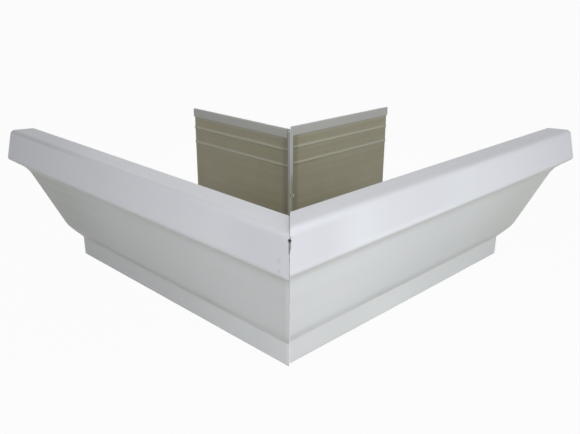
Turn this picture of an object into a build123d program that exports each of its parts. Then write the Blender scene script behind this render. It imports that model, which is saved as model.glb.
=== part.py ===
from build123d import *
import math
import os

os.makedirs("parts", exist_ok=True)

# All sizes are in millimetres. The origin is the house corner, at the level of the base, where the
# back faces of the two legs meet. In a leg's section, u runs outward from its back face and z runs up.

# Sheet metal
sheet_thickness = 0.7
inside_bend_radius = 0.6

# Legs, measured along the back wall from the house corner to the open end
right_leg_length = 88.9
left_leg_length = 88.9

# Section of the gutter
mouth_width = 127.0
base_width = 88.2
back_height = 78.8
front_height = 82.6

# Front: upright strip, ogee and lip
strip_height = 11.6
ogee_knee_out = 9.0
ogee_knee_rise = 9.6
ogee_knee_radius = 22.0
ogee_cove_in = 10.5
ogee_cove_drop = 7.6
ogee_cove_radius = 14.0
lip_face_height = 15.0
lip_lean = 3.8
lip_bottom_radius = 1.8
lip_top_radius = 3.2
lip_flange_width = 13.5
lip_flange_fall = 0.8
lip_return_depth = 7.5

# Back: folded hem and two pressed beads
hem_depth = 5.3
hem_gap = 0.2
bead_drops = (12.6, 22.3)
bead_width = 1.9
bead_depth = 0.5

# Seam along the mitre: each sheet has a flange that is folded back on itself, and the two stand face
# to face. The two shares are of the sheet's thickness: where a flange starts in the wall, and the most
# that the outer edge along the mitre may be rounded.
seam_height = 6.0
seam_fold_clearance = 0.4
seam_fold_gap = 0.1
seam_gap = 0.1
seam_lip_drop = 5.0
seam_slip = 1.5
seam_root_share = 0.8
seam_notch_width = 0.8
seam_notch_start = 2.4
mitre_edge_radius = 0.28
edge_radius_share = 0.42
corner_relief_radius = 0.75
corner_relief_drop = 3.0

# Clinches: buttons pressed out of the left sheet's flange, through the right one's and spread behind it.
# Their places are shares of the back's height, the base's width and the lip face's height.
clinch_radius = 0.8
clinch_clearance = 0.1
clinch_head_radius = 1.3
clinch_head_height = 0.6
clinch_back_share = 0.51
clinch_base_shares = (0.3, 0.7)
clinch_lip_share = 0.3

# Length that a section is drawn past the mitre and the open end, and the side of the blocks that cut it
spare_length = 2.0 * mouth_width
cutter_side = 4.0 * (spare_length + right_leg_length + left_leg_length)

# Values that follow from the sizes above
fold_radius = inside_bend_radius + sheet_thickness
hem_face = 2 * sheet_thickness + hem_gap
lip_bottom_height = front_height - lip_face_height
lip_slope = lip_lean / lip_face_height
mitre_normal = Vector(1, -1, 0).normalized()
flange_face = seam_gap / 2 + sheet_thickness
fold_inner = flange_face + seam_fold_gap
fold_outer = fold_inner + sheet_thickness
fold_start = hem_face + seam_fold_clearance
clinch_depth = (fold_start + seam_height - sheet_thickness) / 2


def lip_corner(height):
    """The point of the lip's face, carried on above and below, at a height."""
    return (mouth_width - lip_slope * (height - lip_bottom_height), height)


def front_points():
    """Corners of the outer face from the foot of the strip to the lip's bottom, with their radii."""
    knee = (base_width + ogee_knee_out, strip_height + ogee_knee_rise)
    cove = (mouth_width - ogee_cove_in, lip_bottom_height - ogee_cove_drop)
    return [
        ((base_width, 0.0), fold_radius),
        ((base_width, strip_height), inside_bend_radius),
        (knee, ogee_knee_radius),
        (cove, ogee_cove_radius),
        ((mouth_width, lip_bottom_height), lip_bottom_radius),
    ]


def turn_side(before, corner, after):
    """Positive where the outer face turns to the left, towards the trough."""
    first = (corner[0] - before[0], corner[1] - before[1])
    second = (after[0] - corner[0], after[1] - corner[1])
    return first[0] * second[1] - first[1] * second[0]


def shifted_corner(before, corner, after, distance):
    """Where two sides meet once both have moved to their left by a distance."""
    first = Vector(corner[0] - before[0], corner[1] - before[1]).normalized()
    second = Vector(after[0] - corner[0], after[1] - corner[1]).normalized()
    normal = Vector(-first.Y - second.Y, first.X + second.X).normalized()
    reach = distance / normal.dot(Vector(-first.Y, first.X))
    return (corner[0] + normal.X * reach, corner[1] + normal.Y * reach)


def shifted_end(end, neighbour, distance, leaving):
    """The end of a line once it has moved to its left by a distance."""
    along = Vector(neighbour[0] - end[0], neighbour[1] - end[1]).normalized()
    if not leaving:
        along = -along
    return (end[0] - along.Y * distance, end[1] + along.X * distance)


def folded_strip(points, radii):
    """A strip of sheet: its outer face follows the points, and its metal lies to their left."""
    corners = list(zip(points[:-2], points[1:-1], points[2:]))
    inner = [shifted_end(points[0], points[1], sheet_thickness, True)]
    inner += [shifted_corner(*three, sheet_thickness) for three in corners]
    inner.append(shifted_end(points[-1], points[-2], sheet_thickness, False))
    inner_radii = [
        radius - math.copysign(sheet_thickness, turn_side(*three))
        for three, radius in zip(corners, radii)
    ]
    outer_line = FilletPolyline(*points, radius=radii)
    inner_line = FilletPolyline(*inner, radius=inner_radii)
    ends = [Line(outer_line @ k, inner_line @ k) for k in (0, 1)]
    return make_face(outer_line.edges() + inner_line.edges() + ends)


def bead_circle(drop, extra):
    """Round tool of a bead, grown by an extra radius."""
    radius = (bead_width**2 / 4 + bead_depth**2) / (2 * bead_depth)
    return Pos(bead_depth - radius, back_height - drop) * Circle(radius + extra)


def gutter_section():
    """The whole sheet in section, from the hem's free edge to the lip's return."""
    hem_radius = sheet_thickness + hem_gap / 4
    lip_edge = (mouth_width - lip_lean - lip_flange_width, front_height - lip_flange_fall)
    corners = [((hem_face, back_height), hem_radius), ((0.0, back_height), hem_radius)]
    corners += [((0.0, 0.0), fold_radius)] + front_points()
    corners += [(lip_corner(front_height), lip_top_radius), (lip_edge, fold_radius)]
    start = (hem_face, back_height - hem_depth)
    end = (lip_edge[0], lip_edge[1] - lip_return_depth)
    points = [start] + [corner for corner, radius in corners] + [end]
    section = folded_strip(points, [radius for corner, radius in corners])
    trough_side = Pos(mouth_width / 2, front_height / 2) * Rectangle(mouth_width, 2 * front_height)
    for drop in bead_drops:
        section += bead_circle(drop, sheet_thickness) & trough_side
    return section


def outline_corners(top):
    """Points and bend radii of the outer face from the back, over the base and up the lip's face."""
    corners = [((0.0, 0.0), fold_radius)] + front_points()
    points = [(0.0, top)] + [corner for corner, radius in corners] + [lip_corner(top)]
    return points, [radius for corner, radius in corners]


def outer_outline(top):
    """The line of the outer face without the hem and the lip's flange."""
    points, radii = outline_corners(top)
    return FilletPolyline(*points, radius=radii)


def trough_region():
    """The area that the section encloses, carried on well above the lip."""
    outline = outer_outline(front_height + 3 * seam_height)
    return make_face(outline.edges() + [Line(outline @ 1, outline @ 0)])


def seam_notches():
    """Slits that let the seam's flanges turn at each bend that is tighter than the seam is high."""
    points, radii = outline_corners(front_height)
    length = 2 * seam_height
    slits = []
    for before, corner, after, radius in zip(points, points[1:], points[2:], radii):
        if radius < seam_height:
            inward = Vector(shifted_corner(before, corner, after, 1.0)) - Vector(corner)
            middle = Vector(corner) + inward.normalized() * (seam_notch_start + length / 2)
            turn = math.degrees(math.atan2(inward.Y, inward.X))
            slits.append(Pos(middle) * Rot(0, 0, turn) * Rectangle(length, seam_notch_width))
    return slits


def seam_band(near, far):
    """The band that runs inside the section's outline, between two distances from its outer face."""
    region = trough_region()
    band = offset(region, -near, kind=Kind.INTERSECTION) - offset(region, -far, kind=Kind.INTERSECTION)
    band -= seam_notches()
    half = mouth_width / 2
    lip_top = front_height - seam_lip_drop
    back_side = Pos(half / 2, back_height / 2) * Rectangle(half, back_height)
    front_side = Pos(half * 1.5, lip_top / 2) * Rectangle(half, lip_top)
    return (band & back_side) + (band & front_side)


def drawn_out(section, length):
    """A section drawn out along a leg that runs in +X, past the mitre and past the open end."""
    start = Plane(origin=(length + spare_length, 0, 0), x_dir=(0, -1, 0), z_dir=(-1, 0, 0))
    return extrude(start * section, amount=length + 2 * spare_length)


def mitre_slab(near, far):
    """The space between two distances from the mitre plane, positive on the right leg's side."""
    middle = mitre_normal * ((near + far) / 2)
    return Plane(origin=middle, z_dir=mitre_normal) * Box(cutter_side, cutter_side, far - near)


def in_mitre(section, near, far):
    """A flat flange or fold of the seam, with the section's outline and lying along the mitre."""
    return drawn_out(section, 0.0) & mitre_slab(near, far)


def across_mitre(shape):
    """The same shape on the other leg's side of the mitre plane."""
    return mirror(shape, about=Plane(origin=(0, 0, 0), z_dir=mitre_normal))


def mitre_edges(wall):
    """The edges of the outer face along the mitre cut."""
    outline = outer_outline(front_height)
    near = 0.001

    def on_cut(edge):
        middle = edge @ 0.5
        in_plane = abs(middle.dot(mitre_normal) - seam_gap / 2) < near
        return in_plane and outline.distance_to(Vector(-middle.Y, middle.Z)) < near

    return wall.edges().filter_by(on_cut)


def leg_wall(length):
    """The sheet of a leg along +X, cut to the mitre and rounded there, and square at its open end."""
    mitre_side = mitre_slab(seam_gap / 2, cutter_side / 2)
    end_side = Pos(length - cutter_side / 2, 0, 0) * Box(cutter_side, cutter_side, cutter_side)
    wall = drawn_out(gutter_section(), length) & mitre_side & end_side
    return fillet(mitre_edges(wall), min(mitre_edge_radius, edge_radius_share * sheet_thickness))


def seam_flange():
    """The flange that stands up from a leg's wall along the mitre, folded back towards that leg."""
    upright = in_mitre(seam_band(seam_root_share * sheet_thickness, seam_height), seam_gap / 2, flange_face)
    crest = in_mitre(seam_band(seam_height - sheet_thickness, seam_height), seam_gap / 2, fold_outer)
    folded_back = in_mitre(seam_band(fold_start, seam_height), fold_inner, fold_outer)
    return upright + crest + folded_back


def bead_grooves(length):
    """What the beads' outer sides clear from the back face."""
    grooves = bead_circle(bead_drops[0], 0.0)
    for drop in bead_drops[1:]:
        grooves += bead_circle(drop, 0.0)
    return drawn_out(grooves, length)


def corner_relief():
    """The small hole left through the lip's face at the mitre, just under its top bend."""
    corner = lip_corner(front_height - corner_relief_drop)
    centre = Vector(-corner[0], -corner[0], corner[1])
    return Plane(origin=centre, z_dir=Vector(-1, -1, 0)) * Cylinder(corner_relief_radius, 3 * lip_top_radius)


def clinch_places():
    """Where the clinches lie in the section. On the base their heads are level with the lower crest."""
    low = lip_bottom_height + clinch_lip_share * lip_face_height
    places = [(clinch_depth, clinch_back_share * back_height), (lip_corner(low)[0] - clinch_depth, low)]
    places += [(share * base_width, seam_height - clinch_head_radius) for share in clinch_base_shares]
    return places


def clinch_pins(radius, near, far):
    """Round pins at the clinches, between two distances from the mitre plane."""
    middle = (near + far) / 2
    pins = []
    for out, height in clinch_places():
        centre = Vector(-out, -out, height) + mitre_normal * middle
        pins.append(Plane(origin=centre, z_dir=mitre_normal) * Cylinder(radius, far - near))
    return pins


def leg_sheet(length):
    """The sheet of a leg along +X with its seam flange."""
    return leg_wall(length) + seam_flange() - bead_grooves(length)


def right_section():
    """The sheet of the right leg, slipped up along the seam, with the holes that the clinches pass."""
    sheet = Pos(0, 0, seam_slip) * leg_sheet(right_leg_length) - corner_relief()
    return sheet - clinch_pins(clinch_radius + clinch_clearance, 0, 2 * fold_outer)


def left_section():
    """The sheet of the left leg, with the clinches' stems and spread heads."""
    head_foot = fold_outer + clinch_clearance
    sheet = across_mitre(leg_sheet(left_leg_length)) - corner_relief()
    sheet += clinch_pins(clinch_radius, -fold_outer, head_foot + clinch_head_height)
    return sheet + clinch_pins(clinch_head_radius, head_foot, head_foot + clinch_head_height)


export_step(left_section(), "parts/left_section.step")
export_step(right_section(), "parts/right_section.step")
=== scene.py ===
import math
import bmesh
import bpy
from mathutils import Matrix, Vector


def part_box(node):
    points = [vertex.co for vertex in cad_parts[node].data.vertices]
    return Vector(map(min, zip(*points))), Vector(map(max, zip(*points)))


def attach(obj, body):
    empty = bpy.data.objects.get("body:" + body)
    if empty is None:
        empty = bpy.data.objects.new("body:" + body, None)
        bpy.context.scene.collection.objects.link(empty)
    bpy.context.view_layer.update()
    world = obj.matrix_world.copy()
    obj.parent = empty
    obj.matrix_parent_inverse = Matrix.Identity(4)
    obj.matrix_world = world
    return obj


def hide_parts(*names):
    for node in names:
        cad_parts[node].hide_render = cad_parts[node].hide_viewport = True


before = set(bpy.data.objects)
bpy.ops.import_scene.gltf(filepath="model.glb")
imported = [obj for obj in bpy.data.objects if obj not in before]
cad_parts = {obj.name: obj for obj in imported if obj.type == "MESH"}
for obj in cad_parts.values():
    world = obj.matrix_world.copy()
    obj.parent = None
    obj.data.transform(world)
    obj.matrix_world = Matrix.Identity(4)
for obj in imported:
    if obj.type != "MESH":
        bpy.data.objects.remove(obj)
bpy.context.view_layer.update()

mm = 0.001
halfRoot = math.sqrt(0.5)
touching = 0.004                              # places this close, in millimetres, are one place

# the folded sheets, in millimetres: u runs out from the house and z up
gutter = {
    "sheet": 0.7,
    "leg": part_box("right_section")[1].x / mm,
    "mouth": 127.0,
    "base": 88.2,
    "back": 78.8,
    "front": 82.6,
    "strip": 11.6,
    "kneeOut": 9.0,
    "kneeRise": 9.6,
    "kneeRadius": 22.0,
    "coveIn": 10.5,
    "coveDrop": 7.6,
    "coveRadius": 14.0,
    "lipFace": 15.0,
    "lipLean": 3.8,
    "lipBottomRadius": 1.8,
    "lipTopRadius": 2.4,
    "flangeWidth": 13.5,
    "flangeFall": 0.8,
    "returnDepth": 7.5,
    "foldRadius": 1.3,
    "creaseRadius": 0.6,
    "hemDepth": 5.3,
    "hemGap": 0.2,
    "hemRadius": 0.75,
    "beadDrops": (12.6, 22.3),
    "beadWidth": 1.9,
    "beadDepth": 0.75,                        # to the corner of a bead's flanks, before it is rounded
    "beadRadius": 1.0,
    "beadFootRadius": 0.8,
    "overrun": 12.0,                          # drawn past the mitre before it is cut
    "smoothAngle": 32.0,
    "roundingSteps": {
        "hem": 5, "bead": 6, "beadFoot": 3, "fold": 5, "crease": 4,
        "knee": 8, "cove": 10, "lipBottom": 6, "lipTop": 8,
    },
}

hemFace = 2 * gutter["sheet"] + gutter["hemGap"]
hemEnd = gutter["back"] - gutter["hemDepth"]
lipBottom = gutter["front"] - gutter["lipFace"]
lipSlope = gutter["lipLean"] / gutter["lipFace"]


def lipFaceAt(height):                        # u of the leaning lip face at a height
    return gutter["mouth"] - lipSlope * (height - lipBottom)


def fold(place, kind):                        # a fold's place, outer radius and rounding steps
    return place, gutter[kind + "Radius"], gutter["roundingSteps"][kind]


def frontFolds():                             # from the foot of the back wall to the lip's bottom
    knee = (gutter["base"] + gutter["kneeOut"], gutter["strip"] + gutter["kneeRise"])
    cove = (gutter["mouth"] - gutter["coveIn"], lipBottom - gutter["coveDrop"])
    return [
        fold((0.0, 0.0), "fold"),
        fold((gutter["base"], 0.0), "fold"),
        fold((gutter["base"], gutter["strip"]), "crease"),
        fold(knee, "knee"),
        fold(cove, "cove"),
        fold((gutter["mouth"], lipBottom), "lipBottom"),
    ]


def beadFolds():
    folds = []
    half = gutter["beadWidth"] / 2
    for drop in gutter["beadDrops"]:
        middle = gutter["back"] - drop
        folds.append(fold((0.0, middle + half), "beadFoot"))
        folds.append(fold((gutter["beadDepth"], middle), "bead"))
        folds.append(fold((0.0, middle - half), "beadFoot"))
    return folds


def sheetFolds():                             # every fold from the hem to the lip's return
    lipCorner = (lipFaceAt(gutter["front"]), gutter["front"])
    lipEdge = (lipCorner[0] - gutter["flangeWidth"], gutter["front"] - gutter["flangeFall"])
    start = (hemFace, hemEnd)
    end = (lipEdge[0], lipEdge[1] - gutter["returnDepth"])
    folds = [fold((u, gutter["back"]), "hem") for u in (hemFace, 0.0)]
    folds += beadFolds() + frontFolds()
    folds += [fold(lipCorner, "lipTop"), fold(lipEdge, "fold")]
    return start, folds, end


def spot(place, x=0.0):                       # a point of the section, in metres
    return Vector((x * mm, -place[0] * mm, place[1] * mm))


def bendReach(radius, before, corner, after): # from a corner to where its rounding starts, in metres
    turn = (Vector(corner) - Vector(before)).angle(Vector(after) - Vector(corner))
    return radius * math.tan(turn / 2) * mm


def freshStart():
    if bpy.context.object and bpy.context.object.mode != "OBJECT":
        bpy.ops.object.mode_set(mode="OBJECT")
    bpy.ops.object.select_all(action="DESELECT")


def choose(piece):                            # the one object that is selected and active
    freshStart()
    bpy.context.view_layer.objects.active = piece
    piece.select_set(True)


def editing(piece, mode="EDGE"):
    choose(piece)
    bpy.ops.object.mode_set(mode="EDIT")
    bpy.ops.mesh.select_mode(type=mode)
    bpy.ops.mesh.select_all(action="DESELECT")


def pick(piece, kind, test):                  # selects what passes the test, in edit mode
    mesh = bmesh.from_edit_mesh(piece.data)
    for items in (mesh.faces, mesh.edges, mesh.verts):
        for item in items:
            item.select_set(False)
    found = [item for item in getattr(mesh, kind) if test(item)]
    for item in found:
        item.select_set(True)
    mesh.select_flush_mode()
    bmesh.update_edit_mesh(piece.data)
    return len(found)


def applied(piece, kind, **settings):
    choose(piece)
    modifier = piece.modifiers.new(kind.title(), kind)
    for name, value in settings.items():
        setattr(modifier, name, value)
    bpy.ops.object.modifier_apply(modifier=modifier.name)


def settle(piece):                            # the place goes into the mesh
    choose(piece)
    bpy.ops.object.transform_apply(location=True, rotation=True, scale=True)


def joined(name, parts):
    freshStart()
    for part in parts:
        part.select_set(True)
    bpy.context.view_layer.objects.active = parts[0]
    bpy.ops.object.join()
    whole = bpy.context.object
    whole.name = name
    whole.data.name = name
    return whole


def drilled(piece, drill):
    applied(piece, "BOOLEAN", object=drill, operation="DIFFERENCE", solver="EXACT")
    bpy.data.objects.remove(drill, do_unlink=True)


def smoothed(piece):
    choose(piece)
    bpy.ops.object.shade_smooth_by_angle(angle=math.radians(gutter["smoothAngle"]))
    applied(piece, "WEIGHTED_NORMAL", keep_sharp=True)


def near(a, b):
    return (a - b).length < touching * mm


def rounded(offset, steps, **settings):       # a round bevel on the picked edges
    bpy.ops.mesh.bevel(offset=offset, offset_type="OFFSET", segments=steps, profile=0.5,
                       affect="EDGES", **settings)


def faceOutward(piece, test, wanted):         # turns all over if the largest tested face looks wrong
    mesh = bmesh.from_edit_mesh(piece.data)
    chosen = max((face for face in mesh.faces if test(face)), key=lambda face: face.calc_area())
    if chosen.normal.dot(wanted) < 0:
        bpy.ops.mesh.select_all(action="SELECT")
        bpy.ops.mesh.flip_normals()


def foldedStrip():                            # one flat panel, carried on fold by fold
    start, folds, end = sheetFolds()
    first = folds[0][0]
    low, high = -gutter["mouth"] - gutter["overrun"], gutter["leg"]
    middle = spot(((start[0] + first[0]) / 2, (start[1] + first[1]) / 2), (low + high) / 2)
    bpy.ops.mesh.primitive_plane_add(size=1, location=middle, rotation=(math.pi / 2, 0, 0))
    sheet = bpy.context.object
    sheet.scale = ((high - low) * mm, (first[1] - start[1]) * mm, 1)
    settle(sheet)
    editing(sheet)
    pick(sheet, "edges", lambda edge: all(near(v.co, spot(first, v.co.x / mm)) for v in edge.verts))
    places = [place for place, radius, steps in folds] + [end]
    for here, there in zip(places, places[1:]):
        bpy.ops.mesh.extrude_region_move(TRANSFORM_OT_translate={"value": spot(there) - spot(here)})
    along = [start] + places
    for (place, radius, steps), before, after in zip(folds, along, along[2:]):
        pick(sheet, "edges", lambda edge: all(near(v.co, spot(place, v.co.x / mm)) for v in edge.verts))
        rounded(bendReach(radius, before, place, after), steps, clamp_overlap=False)
    faceOutward(sheet, lambda face: all(abs(v.co.z) < touching * mm for v in face.verts), Vector((0, 0, -1)))
    freshStart()
    return sheet


paintSlot, washSlot, edgeSlot = 0, 1, 2       # the order of the finishes


def paintSlots(piece):
    piece.data.materials.clear()
    for finish in finishes:
        piece.data.materials.append(finish)


def thicken(piece):
    applied(piece, "SOLIDIFY", thickness=gutter["sheet"] * mm, offset=-1, use_even_offset=True,
            use_quality_normals=True, material_offset=washSlot, material_offset_rim=edgeSlot)


# the seam along the mitre: two folded flanges, face to face
seam = {
    "gap": 0.1,
    "foldGap": 0.1,
    "height": 6.0,
    "root": 0.75,
    "crestRadius": 0.74,
    "crestSteps": 4,
    "foldClearance": 0.4,
    "lipDrop": 5.0,
    "slip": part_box("right_section")[0].z / mm,
    "notchStart": 2.4,
    "notchWidth": 0.8,
    "notchAside": 0.02,                       # how exactly a line has to run into a bend to be slit
    "outerEdge": 0.28,
    "outerEdgeSteps": 3,
    "sharpHemFrom": 0.3,                      # the hem's cut edges past this u stay sharp
    "sharpHemBelow": 1.0,
    "sharpReturnIn": 4.0,                     # and the return's, this far in from the lip's face
    "sharpFlangeDown": 1.5,
    "reliefRadius": 0.62,
    "reliefDrop": 2.7,
    "reliefDepth": 7.2,
    "reliefSides": 24,
    "weld": 0.002,
}

foldOuter = seam["gap"] / 2 + gutter["sheet"] + seam["foldGap"] + gutter["sheet"]
foldStart = hemFace + seam["foldClearance"]
outlineTop = gutter["front"] + 3 * seam["height"]


def mitreOffset(vert):                        # distance from the mitre plane, on the right leg's side
    return (vert.co.x - vert.co.y) * halfRoot / mm


def cutToMitre(sheet):
    editing(sheet)
    bpy.ops.mesh.select_all(action="SELECT")
    away = seam["gap"] / 2
    bpy.ops.mesh.bisect(plane_co=(away * mm * halfRoot, -away * mm * halfRoot, 0), plane_no=(1, -1, 0),
                        clear_inner=True, use_fill=True)

    def onCut(item):
        return all(abs(mitreOffset(vert) - away) < touching for vert in item.verts)

    def outerEdge(edge):
        middle = (edge.verts[0].co + edge.verts[1].co) / 2 / mm
        u, z = -middle.y, middle.z
        inHem = seam["sharpHemFrom"] < u < gutter["hemDepth"] and z > hemEnd - seam["sharpHemBelow"]
        inReturn = z > lipBottom and u < lipFaceAt(gutter["front"]) - seam["sharpReturnIn"]
        inFlange = z > gutter["front"] - seam["sharpFlangeDown"]
        painted = any(face.material_index == paintSlot for face in edge.link_faces)
        return onCut(edge) and painted and not (inHem or inReturn or inFlange)

    pick(sheet, "faces", onCut)
    sheet.active_material_index = edgeSlot
    bpy.ops.object.material_slot_assign()
    pick(sheet, "edges", outerEdge)
    rounded(seam["outerEdge"] * mm, seam["outerEdgeSteps"], clamp_overlap=True, material=paintSlot)
    freshStart()


def outlineCorners():                         # the section's outline, carried on well above the lip
    folds = frontFolds()
    corners = [(0.0, outlineTop)] + [place for place, radius, steps in folds]
    corners.append((lipFaceAt(outlineTop), outlineTop))
    return folds, corners


def outlineBand(depths, away):                # a flat band inside the outline, along the mitre plane
    folds, corners = outlineCorners()
    bpy.ops.mesh.primitive_plane_add(size=2 * mm, location=spot(corners[0]) - Vector((mm, -mm, 0)))
    band = bpy.context.object
    settle(band)
    editing(band, "VERT")                     # only the plane's corner at the outline's start is kept
    pick(band, "verts", lambda vert: not near(vert.co, spot(corners[0])))
    bpy.ops.mesh.delete(type="VERT")
    bpy.ops.mesh.select_all(action="SELECT")
    for here, there in zip(corners, corners[1:]):
        bpy.ops.mesh.extrude_vertices_move(TRANSFORM_OT_translate={"value": spot(there) - spot(here)})
    bpy.ops.mesh.select_all(action="SELECT")
    bpy.ops.mesh.edge_face_add()
    for (place, radius, steps), before, after in zip(folds, corners, corners[2:]):
        if radius > seam["height"]:
            reach = bendReach(radius, before, place, after)
            pick(band, "verts", lambda vert: near(vert.co, spot(place)))
            bpy.ops.mesh.bevel(offset=reach, segments=steps, profile=0.5, affect="VERTICES")
    bpy.ops.mesh.select_mode(type="FACE")
    bpy.ops.mesh.select_all(action="SELECT")
    bpy.ops.mesh.inset(thickness=depths[0] * mm, use_even_offset=True)
    bpy.ops.mesh.select_all(action="INVERT")
    bpy.ops.mesh.delete(type="FACE")
    for low, high in zip(depths, depths[1:]):
        bpy.ops.mesh.select_all(action="DESELECT")
        pick(band, "faces", lambda face: len(face.verts) > 4)
        bpy.ops.mesh.inset(thickness=(high - low) * mm, use_even_offset=True)
    freshStart()
    band.scale = (1, math.sqrt(2), 1)
    band.rotation_euler = (0, 0, -math.pi / 4)
    band.location = Vector((1, -1, 0)) * halfRoot * away * mm
    settle(band)
    return band


def notchBand(band):                          # opens slits at the tight bends and cuts off the ends
    editing(band)
    folds, corners = outlineCorners()
    for (place, radius, steps), before, after in zip(folds, corners, corners[2:]):
        if radius > seam["height"]:
            continue
        corner = Vector(place)
        back, on = Vector(before) - corner, Vector(after) - corner
        inward = (back.normalized() + on.normalized()).normalized()
        if (-back).angle_signed(on) > 0:
            inward = -inward

        def onBend(edge):
            spots = [Vector((-v.co.y / mm, v.co.z / mm)) - corner for v in edge.verts]
            straight = all(abs(s.x * inward.y - s.y * inward.x) < seam["notchAside"] for s in spots)
            return straight and all(s.dot(inward) > seam["notchStart"] - touching for s in spots)

        if pick(band, "edges", onBend):
            bpy.ops.mesh.bevel(offset=seam["notchWidth"] / 2 * mm, offset_type="OFFSET", segments=1,
                               affect="EDGES", clamp_overlap=False, mark_seam=True)
            bpy.ops.mesh.delete(type="FACE")
    half = gutter["mouth"] / 2
    for high, side in ((gutter["front"] - seam["lipDrop"], 1), (gutter["back"], -1)):
        pick(band, "faces", lambda face: (-face.calc_center_median().y / mm - half) * side > 0)
        bpy.ops.mesh.bisect(plane_co=(0, 0, high * mm), plane_no=(0, 0, 1), clear_outer=True)
    pick(band, "faces", lambda face: face.calc_center_median().z / mm > gutter["front"])
    bpy.ops.mesh.delete(type="FACE")
    bpy.ops.mesh.select_all(action="SELECT")
    bpy.ops.mesh.normals_make_consistent(inside=False)


def foldedFlange():                           # stands up along the mitre and is folded back
    band = outlineBand((seam["root"], seam["notchStart"], seam["height"]), seam["gap"] / 2)
    turned = outlineBand((foldStart, seam["notchStart"], seam["height"]), foldOuter)
    band = joined("flange", [band, turned])
    editing(band, "FACE")
    pick(band, "faces", lambda face: len(face.verts) > 6)
    bpy.ops.mesh.bridge_edge_loops()
    notchBand(band)

    def acrossFold(face):
        offsets = [mitreOffset(vert) for vert in face.verts]
        return max(offsets) - min(offsets) > gutter["sheet"]

    def crest(edge):
        level = len({round(mitreOffset(vert), 2) for vert in edge.verts}) == 1
        return level and len(edge.link_faces) == 2 and any(acrossFold(face) for face in edge.link_faces)

    def turnedBack(face):
        return all(abs(mitreOffset(vert) - foldOuter) < touching for vert in face.verts)

    pick(band, "edges", crest)
    rounded(seam["crestRadius"] * mm, seam["crestSteps"], clamp_overlap=True)
    faceOutward(band, turnedBack, Vector((1, -1, 0)))
    freshStart()
    paintSlots(band)
    thicken(band)
    return band


def weld(piece):                              # corners that lie on each other become one
    editing(piece, "VERT")
    bpy.ops.mesh.select_all(action="SELECT")
    bpy.ops.mesh.remove_doubles(threshold=seam["weld"] * mm)
    freshStart()


def pierce(piece, lift):                      # the small hole in the lip's face, under its top fold
    height = gutter["front"] - seam["reliefDrop"]
    corner = -lipFaceAt(height)
    bpy.ops.mesh.primitive_cylinder_add(vertices=seam["reliefSides"], radius=seam["reliefRadius"] * mm,
                                        depth=seam["reliefDepth"] * mm,
                                        location=(corner * mm, corner * mm, (height - lift) * mm),
                                        rotation=Vector((-1, -1, 0)).to_track_quat("Z", "Y").to_euler())
    drilled(piece, bpy.context.object)


def legSheet(name, flange, lift):
    sheet = foldedStrip()
    paintSlots(sheet)
    thicken(sheet)
    cutToMitre(sheet)
    pierce(sheet, lift)
    whole = joined(name, [sheet, flange])
    weld(whole)
    return whole


# the buttons that hold the two flanges together
clinch = {
    "radius": 0.8,
    "clearance": 0.1,
    "headRadius": 1.3,
    "headHeight": 0.6,
    "rim": 0.22,
    "rimSteps": 3,
    "hollowWall": 0.25,
    "hollowDepth": 0.6,
    "proud": 0.05,                            # stands out of the left flange's back
    "intoHead": 0.1,
    "sides": 28,
    "drillFrom": -1.0,                        # from the mitre plane, on the left
    "backShare": 0.51,
    "baseShares": (0.3, 0.7),
    "lipShare": 0.3,
}


def clinchPlaces():                           # in the section, as u and z
    depth = (foldStart + seam["height"] - gutter["sheet"]) / 2
    low = lipBottom + clinch["lipShare"] * gutter["lipFace"]
    places = [(depth, clinch["backShare"] * gutter["back"]), (lipFaceAt(low) - depth, low)]
    return places + [(share * gutter["base"], seam["height"] - clinch["headRadius"])
                     for share in clinch["baseShares"]]


def clinchPin(place, radius, low, high):      # across the seam, between two distances from the mitre
    normal = Vector((1, -1, 0)) * halfRoot
    middle = Vector((-place[0], -place[0], place[1])) + normal * (low + high) / 2
    bpy.ops.mesh.primitive_cylinder_add(vertices=clinch["sides"], radius=radius * mm,
                                        depth=(high - low) * mm, location=middle * mm,
                                        rotation=normal.to_track_quat("Z", "Y").to_euler())
    pin = bpy.context.object
    settle(pin)
    return pin


def drillForClinches(flange):                 # the right flange's holes, level with the buttons
    for u, z in clinchPlaces():
        radius = clinch["radius"] + clinch["clearance"]
        drilled(flange, clinchPin((u, z - seam["slip"]), radius, clinch["drillFrom"], 2 * foldOuter))


def pressedClinch(place):                     # hollow from the left sheet's side, its head on the right
    headFoot = foldOuter + clinch["clearance"]
    headTop = headFoot + clinch["headHeight"]
    inward = clinch["hollowDepth"] * mm * halfRoot
    stem = clinchPin(place, clinch["radius"], -foldOuter - clinch["proud"], headFoot + clinch["intoHead"])
    editing(stem, "FACE")
    pick(stem, "faces", lambda face: len(face.verts) > 4 and mitreOffset(face.verts[0]) < 0)
    bpy.ops.mesh.inset(thickness=clinch["hollowWall"] * mm)
    bpy.ops.mesh.extrude_region_move(TRANSFORM_OT_translate={"value": (inward, -inward, 0)})
    head = clinchPin(place, clinch["headRadius"], headFoot, headTop)
    halfway = (headFoot + headTop) / 2
    editing(head)
    pick(head, "edges", lambda edge: all(mitreOffset(vert) > halfway for vert in edge.verts))
    bpy.ops.mesh.bevel(offset=clinch["rim"] * mm, segments=clinch["rimSteps"], affect="EDGES")
    for part in (stem, head):
        paintSlots(part)
    freshStart()
    return [stem, head]


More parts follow.
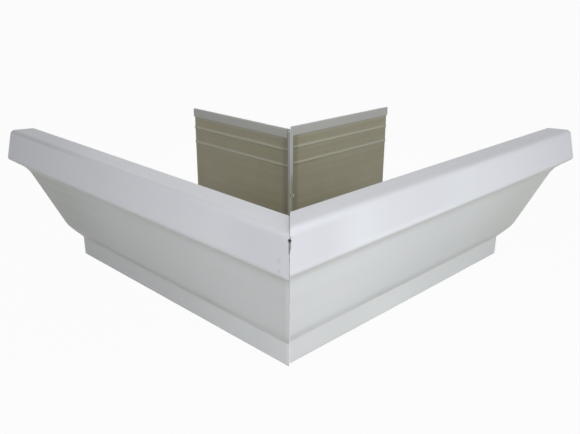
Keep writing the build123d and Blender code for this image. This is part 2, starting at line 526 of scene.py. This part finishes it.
class Wire:                                   # a shader value that can be reckoned with
    def __init__(self, tree, socket):
        self.tree, self.socket = tree, socket

    def node(self, kind, settings, links, out=0):
        made = self.tree.nodes.new(kind)
        for name, value in settings.items():
            setattr(made, name, value)
        for name, value in links.items():
            if isinstance(value, Wire):
                self.tree.links.new(value.socket, made.inputs[name])
            else:
                made.inputs[name].default_value = value
        return Wire(self.tree, made.outputs[out])

    def math(self, operation, *values):
        links = dict(enumerate((self,) + values))
        return self.node("ShaderNodeMath", {"operation": operation}, links)

    def __add__(self, other):
        return self.math("ADD", other)

    def __radd__(self, other):
        return self.math("ADD", other)

    def __sub__(self, other):
        return self.math("SUBTRACT", other)

    def __rsub__(self, other):
        return self.math("MULTIPLY", -1.0).math("ADD", other)

    def __mul__(self, other):
        return self.math("MULTIPLY", other)

    def __rmul__(self, other):
        return self.math("MULTIPLY", other)

    def over(self, low, high):                # 0 at low and 1 at high, eased
        links = {"Value": self, "From Min": low, "From Max": high}
        return self.node("ShaderNodeMapRange", {"interpolation_type": "SMOOTHSTEP"}, links)

    def within(self, a, b, c=None, d=None):   # 0 at a, 1 at b and, if given, 1 at c and 0 at d
        return self.over(a, b) if c is None else self.over(a, b) * self.over(d, c)

    def mixed(self, first, second):           # the first colour where this is 0, the second where 1
        links = {"Factor": self, 6: first, 7: second}
        return self.node("ShaderNodeMix", {"data_type": "RGBA"}, links, 2)


sideBlur = 0.2                                # how softly the left sheet's tones pass to the right's


class Finish:                                 # a material that knows its place on the gutter, in mm
    def __init__(self, name, look):
        self.material = bpy.data.materials.new(name)
        self.material.use_nodes = True
        self.tree = self.material.node_tree
        self.shader = self.tree.nodes["Principled BSDF"]
        for socket, value in look["sockets"].items():
            self.shader.inputs[socket].default_value = value
        start = Wire(self.tree, None)
        place = start.node("ShaderNodeTexCoord", {}, {}, "Object")
        split = place.node("ShaderNodeSeparateXYZ", {}, {0: place}).socket.node
        x, y, z = (Wire(self.tree, socket) * (1 / mm) for socket in split.outputs)
        self.right = (x - y).over(-sideBlur, sideBlur)
        mitre = (x - y) * halfRoot
        self.measures = {
            "along": x.math("MAXIMUM", y),
            "out": x.math("MINIMUM", y) * -1.0,
            "up": z,
            "height": z - self.right * seam["slip"],
            "mitre": mitre,
            "away": mitre.math("ABSOLUTE"),
        }
        for grain, settings in look["grains"].items():
            self.measures[grain] = self.grain(*settings)

    def grain(self, stretch, scale, detail, seed):
        along, out, up = (self.measures[name] * by for name, by in zip(("along", "out", "up"), stretch))
        place = along.node("ShaderNodeCombineXYZ", {}, {"X": along, "Y": out + seed, "Z": up})
        return place.node("ShaderNodeTexNoise", {}, {"Vector": place, "Scale": scale, "Detail": detail})

    def distanceTo(self, along, up):          # from a place on the front
        across = self.measures["along"] - along
        rise = self.measures["up"] - up
        return (across * across + rise * rise).math("SQRT")

    def laid(self, base, tone):               # a tone over the base, by its strength left and right
        left, right = tone.get("strength", (1.0, 1.0))
        mask = self.right * (right - left) + left
        for measure, bounds in tone["where"].items():
            mask = mask * self.measures[measure].within(*bounds)
        colour = tone["colour"]
        if "rightColour" in tone:
            colour = self.measures["mitre"].over(*tone["turn"]).mixed(colour, tone["rightColour"])
        return mask.mixed(base, colour)

    def sumOf(self, shares):
        first, *others = (self.measures[name] * share for name, share in shares.items())
        return sum(others, first)

    def feed(self, name, wire):
        self.tree.links.new(wire.socket, self.shader.inputs[name])

    def bump(self, shares, strength):
        height = self.sumOf(shares)
        links = {"Height": height, "Strength": strength, "Distance": mm}
        self.feed("Normal", height.node("ShaderNodeBump", {}, links))


# the white paint outside: each tone lies over those before it, where its measures are within their bounds.
# along, out and up follow the sheet, height is above its own base, mitre is from the mitre plane and positive
# on the right, and away is the same on either side
paintLook = {
    "sockets": {"IOR": 1.46, "Specular IOR Level": 0.25},
    "grains": {                               # stretch along, out and up, then scale, detail and seed
        "streaks": ((0.004, 0.12, 0.12), 1.0, 3.0, 0.0),
        "mottle": ((0.03, 0.03, 0.03), 1.0, 3.0, 40.0),
        "fine": ((1.0, 1.0, 1.0), 1.3, 2.0, 9.0),
        "waves": ((0.02, 0.05, 0.05), 1.0, 1.0, 70.0),
    },
    "greySpots": {"highGreySpot": (-120.8, 72.5), "lowGreySpot": (-121.6, 69.2)},
    "front": (0.775, 0.797, 0.812, 1),
    "tones": {
        # painted light: the paint is lighter near the mitre, where the lamps fall brightest
        "nearMitreLight": {
            "colour": (0.865, 0.885, 0.905, 1),
            "where": {"away": (75.0, 15.0)},
        },
        # painted shade: a darker band along the crease at the strip's top, towards the far end of each leg
        "leftEndShade": {
            "colour": (0.62, 0.635, 0.62, 1),
            "strength": (1.0, 0.0),
            "where": {"away": (80.0, 125.0), "height": (11.5, 13.5)},
        },
        "rightEndShade": {
            "colour": (0.72, 0.735, 0.72, 1),
            "strength": (0.0, 1.0),
            "where": {"away": (80.0, 125.0), "height": (11.5, 13.5)},
        },
        # painted light: the lip face, flange and return are tinted bluer than the ogee below, for how the
        # light falls on them
        "lip": {
            "colour": (0.757, 0.776, 0.832, 1),
            "where": {"height": (64.0, 69.0)},
        },
        "streaks": {
            "colour": (0.82, 0.835, 0.85, 1),
            "strength": (0.3, 0.3),
            "where": {"streaks": (0.3, 0.7)},
        },
        "mottle": {
            "colour": (0.73, 0.745, 0.765, 1),
            "strength": (0.25, 0.25),
            "where": {"mottle": (0.5, 0.8)},
        },
        # painted shade: the lip face is darkened near the mitre
        "corner": {
            "colour": (0.60, 0.61, 0.66, 1),
            "strength": (0.4, 0.65),
            "where": {"away": (30.0, 10.0), "height": (66.0, 70.0, 79.0, 82.0)},
        },
        # painted shade: darker, greener bands in the crease at the strip's top, away from the mitre, and
        # under the lip
        "footCreaseShade": {
            "colour": (0.73, 0.75, 0.69, 1),
            "strength": (0.35, 0.35),
            "where": {"away": (18.0, 43.0), "height": (8.5, 12.5, 15.5, 19.5)},
        },
        "lipCreaseShade": {
            "colour": (0.73, 0.75, 0.69, 1),
            "strength": (0.35, 0.35),
            "where": {"height": (57.0, 61.0, 65.5, 69.5)},
        },
        # painted light: the crease at the strip's top is lightened near the mitre, against the shade that
        # falls there
        "footCreaseLight": {
            "colour": (0.95, 0.96, 0.96, 1),
            "strength": (0.8, 0.8),
            "where": {"away": (43.0, 18.0), "height": (11.4, 11.9, 13.5, 18.5)},
        },
        # painted shade: the right leg's strip is darker near the mitre
        "stripCornerShade": {
            "colour": (0.745, 0.76, 0.77, 1),
            "strength": (0.0, 1.0),
            "where": {"mitre": (-50.0, -10.0, 20.0, 60.0), "height": (12.2, 11.4)},
        },
        # painted highlight: a light line along the left sheet's rounded mitre edge, below the lip
        "leftArrisHighlight": {
            "colour": (0.96, 0.97, 0.98, 1),
            "strength": (0.7, 0.7),
            "where": {"mitre": (-1.7, -1.2, -0.1, 0.4), "height": (66.5, 64.5)},
        },
        # painted shade: the left flange's top is darker towards its far end
        "leftFlangeEndShade": {
            "colour": (0.63, 0.64, 0.68, 1),
            "strength": (0.9, 0.0),
            "where": {"away": (80.0, 125.0), "height": (80.5, 81.8)},
        },
        # painted shade: the right lip face is darker a little way from the mitre
        "rightLipFaceShade": {
            "colour": (0.70, 0.715, 0.765, 1),
            "strength": (0.0, 0.75),
            "where": {"mitre": (18.0, 42.0, 55.0, 79.0), "height": (68.5, 70.5, 80.5, 82.5)},
        },
        "dust": {
            "colour": (0.58, 0.57, 0.55, 1),
            "strength": (0.35, 0.35),
            "where": {"fine": (0.72, 0.82)},
        },
        # the hem's white paint is darkened: partly grime, partly painted shade on its face towards the trough
        "hem": {
            "colour": (0.66, 0.67, 0.655, 1),
            "where": {"out": (2.4, 1.8), "height": (72.5, 73.0)},
        },
        # painted shade and light: the seam's folds are darker on the left sheet's side and lighter on the
        # right's
        "seamFoldsShadeAndLight": {
            "colour": (0.42, 0.44, 0.47, 1),
            "rightColour": (0.68, 0.68, 0.65, 1),
            "turn": (-0.2, 0.4),
            "where": {"out": (8.0, 7.0), "away": (2.0, 1.8), "height": (79.5, 78.0)},
        },
        "lowSeam": {
            "colour": (0.42, 0.41, 0.33, 1),
            "strength": (0.8, 0.8),
            "where": {"out": (8.0, 7.0), "away": (2.0, 1.8), "height": (56.0, 46.0)},
        },
        "tail": {                             # the dark line under the corner's hole
            "colour": (0.14, 0.14, 0.15, 1),
            "strength": (0.7, 0.7),
            "where": {
                "mitre": (-0.45, -0.25, 0.35, 0.55),
                "height": (75.4, 76.0, 79.5, 80.1),
                "out": (110.0, 115.0),
            },
        },
        # two small grey spots on the left lip face
        "highGreySpot": {
            "colour": (0.55, 0.56, 0.60, 1),
            "strength": (0.5, 0.0),
            "where": {"highGreySpot": (1.5, 0.0)},
        },
        "lowGreySpot": {
            "colour": (0.55, 0.56, 0.60, 1),
            "strength": (0.6, 0.0),
            "where": {"lowGreySpot": (1.3, 0.0)},
        },
    },
    "roughness": {"streaks": 0.10, "mottle": 0.08},
    "leastRoughness": 0.36,
    "bump": {"fine": 0.02, "waves": 0.6},
    "bumpStrength": 0.35,
}


def whitePaint():
    paint = Finish("whitePaint", paintLook)
    for name, place in paintLook["greySpots"].items():
        paint.measures[name] = paint.distanceTo(*place)
    base = paintLook["front"]
    for tone in paintLook["tones"].values():
        base = paint.laid(base, tone)
    paint.feed("Base Color", base)
    paint.feed("Roughness", paint.sumOf(paintLook["roughness"]) + paintLook["leastRoughness"])
    paint.bump(paintLook["bump"], paintLook["bumpStrength"])
    return paint.material


def beadHighlight(drop):                         # a painted highlight along a bead's crest
    middle = gutter["back"] - drop
    crest = (middle - 0.75, middle - 0.25, middle + 0.45, middle + 0.95)
    return {
        "colour": (0.66, 0.65, 0.57, 1),
        "strength": (0.8, 0.8),
        "where": {"height": crest, "out": (3.0, 2.0)},
    }


# the khaki wash coat in the trough
washLook = {
    "sockets": {"IOR": 1.45},
    "grains": {
        "streaks": ((0.006, 0.25, 0.25), 1.0, 4.0, 0.0),
        "mottle": ((0.05, 0.05, 0.05), 1.0, 4.0, 30.0),
    },
    "wall": (0.44, 0.415, 0.305, 1),
    "tones": {
        "streaks": {
            "colour": (0.50, 0.475, 0.36, 1),
            "where": {"streaks": (0.3, 0.7)},
        },
        "mottle": {
            "colour": (0.42, 0.39, 0.28, 1),
            "strength": (0.5, 0.5),
            "where": {"mottle": (0.35, 0.75)},
        },
        "upperBeadHighlight": beadHighlight(gutter["beadDrops"][0]),
        "lowerBeadHighlight": beadHighlight(gutter["beadDrops"][1]),
        "underHem": {
            "colour": (0.60, 0.59, 0.53, 1),
            "strength": (0.45, 0.45),
            "where": {"height": (71.0, 72.6, 75.0, 76.6), "out": (3.0, 2.0)},
        },
        # painted shade: the walls are darker beside the seam
        "seamShade": {
            "colour": (0.24, 0.23, 0.18, 1),
            "strength": (0.45, 0.45),
            "where": {"away": (5.7, 3.2), "out": (9.0, 7.0)},
        },
    },
    "roughness": {"streaks": 0.2},
    "leastRoughness": 0.34,
    "bump": {"streaks": 0.25, "mottle": 0.3},
    "bumpStrength": 0.3,
}


def washCoat():
    coat = Finish("washCoat", washLook)
    base = washLook["wall"]
    for tone in washLook["tones"].values():
        base = coat.laid(base, tone)
    coat.feed("Base Color", base)
    coat.feed("Roughness", coat.sumOf(washLook["roughness"]) + washLook["leastRoughness"])
    coat.bump(washLook["bump"], washLook["bumpStrength"])
    return coat.material


# the bare metal of the cut edges
edgeLook = {
    "sockets": {"Metallic": 0.3, "IOR": 1.46, "Specular IOR Level": 0.25},
    "grains": {"grain": ((0.3, 0.3, 0.3), 1.0, 3.0, 0.0)},
    "dark": (0.40, 0.41, 0.42, 1),
    "light": {"colour": (0.52, 0.53, 0.54, 1), "where": {"grain": (0.3, 0.7)}},
    "roughness": {"grain": 0.2},
    "leastRoughness": 0.6,
}


def cutEdge():
    edge = Finish("cutEdge", edgeLook)
    edge.feed("Base Color", edge.laid(edgeLook["dark"], edgeLook["light"]))
    edge.feed("Roughness", edge.sumOf(edgeLook["roughness"]) + edgeLook["leastRoughness"])
    return edge.material


print("finishes")
finishes = [whitePaint(), washCoat(), cutEdge()]

print("right sheet")
rightFlange = foldedFlange()
drillForClinches(rightFlange)
rightSheet = legSheet("rightSheet", rightFlange, seam["slip"])
rightSheet.location = (0, 0, seam["slip"] * mm)
settle(rightSheet)
smoothed(rightSheet)

print("left sheet")
leftSheet = legSheet("leftSheet", foldedFlange(), 0)
leftSheet.scale = (-1, 1, 1)
leftSheet.rotation_euler = (0, 0, -math.pi / 2)
settle(leftSheet)
editing(leftSheet, "FACE")
bpy.ops.mesh.select_all(action="SELECT")
bpy.ops.mesh.normals_make_consistent(inside=False)
freshStart()
buttons = [part for place in clinchPlaces() for part in pressedClinch(place)]
leftSheet = joined("leftSheet", [leftSheet] + buttons)
smoothed(leftSheet)

for piece, node in ((rightSheet, "right_section"), (leftSheet, "left_section")):
    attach(piece, "root")
    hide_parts(node)

print("stage")
# the camera's numbers come from fitting the photo's straight edges: angles in degrees, lengths in mm
camera = {
    "turn": -44.97,
    "rise": 19.81,
    "roll": 0.27,
    "distance": 309.14,
    "target": (-59.98, -60.02, 55.69),
    "lens": 41.32,
    "sensor": 36.0,
    "clip": (10.0, 50000.0),
}


def setCamera():
    turn, rise, roll = (math.radians(camera[k]) for k in ("turn", "rise", "roll"))
    back = Vector((math.sin(turn) * math.cos(rise), -math.cos(turn) * math.cos(rise), math.sin(rise)))
    right = Vector((math.cos(turn), math.sin(turn), 0))
    up = back.cross(right)
    tiltedRight = math.cos(roll) * right + math.sin(roll) * up
    tiltedUp = -math.sin(roll) * right + math.cos(roll) * up
    eye = (Vector(camera["target"]) + back * camera["distance"]) * mm
    bpy.ops.object.camera_add(location=eye)
    seen = bpy.context.object
    seen.rotation_euler = Matrix((tiltedRight, tiltedUp, back)).transposed().to_euler()
    seen.data.lens = camera["lens"]
    seen.data.sensor_width = camera["sensor"]
    seen.data.clip_start, seen.data.clip_end = (length * mm for length in camera["clip"])
    bpy.context.scene.camera = seen


def whiteToCamera(tree, plain, strength):     # camera, mirror and glass rays see white
    path = tree.nodes.new("ShaderNodeLightPath")
    rays = [Wire(tree, path.outputs[f"Is {kind} Ray"]) for kind in ("Camera", "Glossy", "Transmission")]
    seen = rays[0].math("MAXIMUM", rays[1]).math("MAXIMUM", rays[2]) * strength
    mix = tree.nodes.new("ShaderNodeMixShader")
    tree.links.new(seen.socket, mix.inputs[0])
    tree.links.new(plain, mix.inputs[1])
    return mix


# lamps: places in metres, and the world and a sun by strength
lighting = {
    "world": 0.2,
    "aim": (-0.06, -0.06, 0.05),
    "areas": (                                # place, size, power
        ((-0.33, -0.33, 0.25), 0.12, 0.62),
        ((-0.42, -0.10, 0.12), 0.2, 0.18),
        ((-0.05, -0.40, 0.08), 0.2, 0.36),
        ((0.22, 0.22, 0.035), 0.05, 0.24),
    ),
    "suns": (                                 # the way to the lamp, strength
        ((0.60, 0.60, 0.53), 0.50),
        ((0.15, -0.84, 0.53), 0.34),
    ),
    "sunAngle": 35.0,
}


def setWorld():
    world = bpy.data.worlds.new("studio")
    world.use_nodes = True
    tree = world.node_tree
    plain = tree.nodes["Background"]
    plain.inputs["Color"].default_value = (1, 1, 1, 1)
    plain.inputs["Strength"].default_value = lighting["world"]
    white = tree.nodes.new("ShaderNodeBackground")
    white.inputs["Color"].default_value = (1, 1, 1, 1)
    mix = whiteToCamera(tree, plain.outputs[0], 1.0)
    tree.links.new(white.outputs[0], mix.inputs[2])
    tree.links.new(mix.outputs[0], tree.nodes["World Output"].inputs[0])
    bpy.context.scene.world = world


def aimed(lamp, towards):
    lamp.rotation_euler = Vector(towards).to_track_quat("Z", "Y").to_euler()
    lamp.visible_camera = False


def setLamps():
    for place, size, power in lighting["areas"]:
        bpy.ops.object.light_add(type="AREA", location=place)
        lamp = bpy.context.object
        aimed(lamp, Vector(place) - Vector(lighting["aim"]))
        lamp.data.size = size
        lamp.data.energy = power
    for towards, strength in lighting["suns"]:
        bpy.ops.object.light_add(type="SUN")
        lamp = bpy.context.object
        aimed(lamp, towards)
        lamp.data.energy = strength
        lamp.data.angle = math.radians(lighting["sunAngle"])


floorLook = {
    "size": 30.0,                             # in metres
    "drop": 0.2,                              # in millimetres, below the sheets
    "white": 0.96,
    "sockets": {"Base Color": (0.42, 0.43, 0.41, 1), "Roughness": 0.9, "Specular IOR Level": 0.0},
}


def setFloor():
    bpy.ops.mesh.primitive_plane_add(size=floorLook["size"], location=(0, 0, -floorLook["drop"] * mm))
    floor = bpy.context.object
    floor.name = "floor"
    material = bpy.data.materials.new("paleFloor")
    material.use_nodes = True
    tree = material.node_tree
    shader = tree.nodes["Principled BSDF"]
    for socket, value in floorLook["sockets"].items():
        shader.inputs[socket].default_value = value
    glow = tree.nodes.new("ShaderNodeEmission")
    mix = whiteToCamera(tree, shader.outputs[0], floorLook["white"])
    tree.links.new(glow.outputs[0], mix.inputs[2])
    tree.links.new(mix.outputs[0], tree.nodes["Material Output"].inputs[0])
    floor.data.materials.append(material)


setCamera()
setWorld()
setFloor()
setLamps()
bpy.context.scene.view_settings.view_transform = "Standard"
